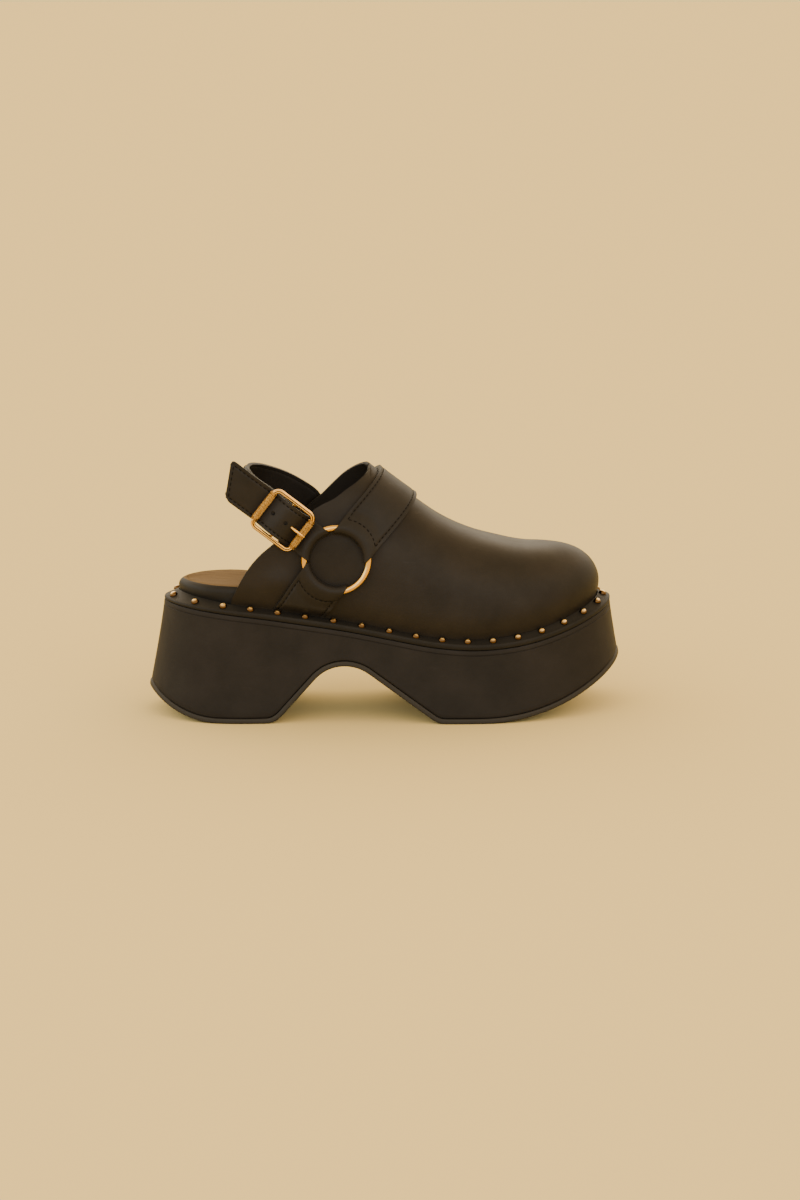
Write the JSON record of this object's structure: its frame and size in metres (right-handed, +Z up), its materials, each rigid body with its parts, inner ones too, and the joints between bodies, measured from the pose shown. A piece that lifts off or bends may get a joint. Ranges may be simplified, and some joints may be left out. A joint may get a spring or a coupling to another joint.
{
  "type": "platform clog",
  "caption": "Closed-toe platform clog for the right foot: leather upper nailed round its edge, ring harness, buckled slingback, arched sole with a raised toe.",
  "frame": {"origin": "on the floor, at the middle of the heel's flat tread", "axes": "+X from heel to toe, +Y to the inner (medial) side of the foot, +Z up"},
  "size_m": [0.275, 0.0995, 0.1495],
  "materials": {
    "black_leather": "waxed matte black, very dark brown in the light",
    "platform_cover": "matte black cover over light foam",
    "outsole_rubber": "matte black",
    "footbed_suede": "brown suede",
    "brass": "polished pale brass"
  },
  "bodies": {
    "root": {"buckle_frame": "brass", "buckle_prong": "brass", "buckle_strap": "black_leather", "footbed": "footbed_suede", "front_sleeve": "brass", "instep_strap": "black_leather", "lateral_lower_strap": "black_leather", "lateral_ring": "brass", "medial_lower_strap": "black_leather", "medial_ring": "brass", "nail_01": "brass", "nail_02": "brass", "nail_03": "brass", "nail_04": "brass", "nail_05": "brass", "nail_06": "brass", "nail_07": "brass", "nail_08": "brass", "nail_09": "brass", "nail_10": "brass", "nail_11": "brass", "nail_12": "brass", "nail_13": "brass", "nail_14": "brass", "nail_15": "brass", "nail_16": "brass", "nail_17": "brass", "nail_18": "brass", "nail_19": "brass", "nail_20": "brass", "nail_21": "brass", "nail_22": "brass", "nail_23": "brass", "nail_24": "brass", "nail_25": "brass", "nail_26": "brass", "nail_27": "brass", "nail_28": "brass", "nail_29": "brass", "nail_30": "brass", "nail_31": "brass", "nail_32": "brass", "nail_33": "brass", "nail_34": "brass", "nail_35": "brass", "nail_36": "brass", "nail_37": "brass", "nailed_strip": "black_leather", "outsole": "outsole_rubber", "platform": "platform_cover", "rear_sleeve": "brass", "slingback": "black_leather", "upper": "black_leather"}
  },
  "joints": []
}
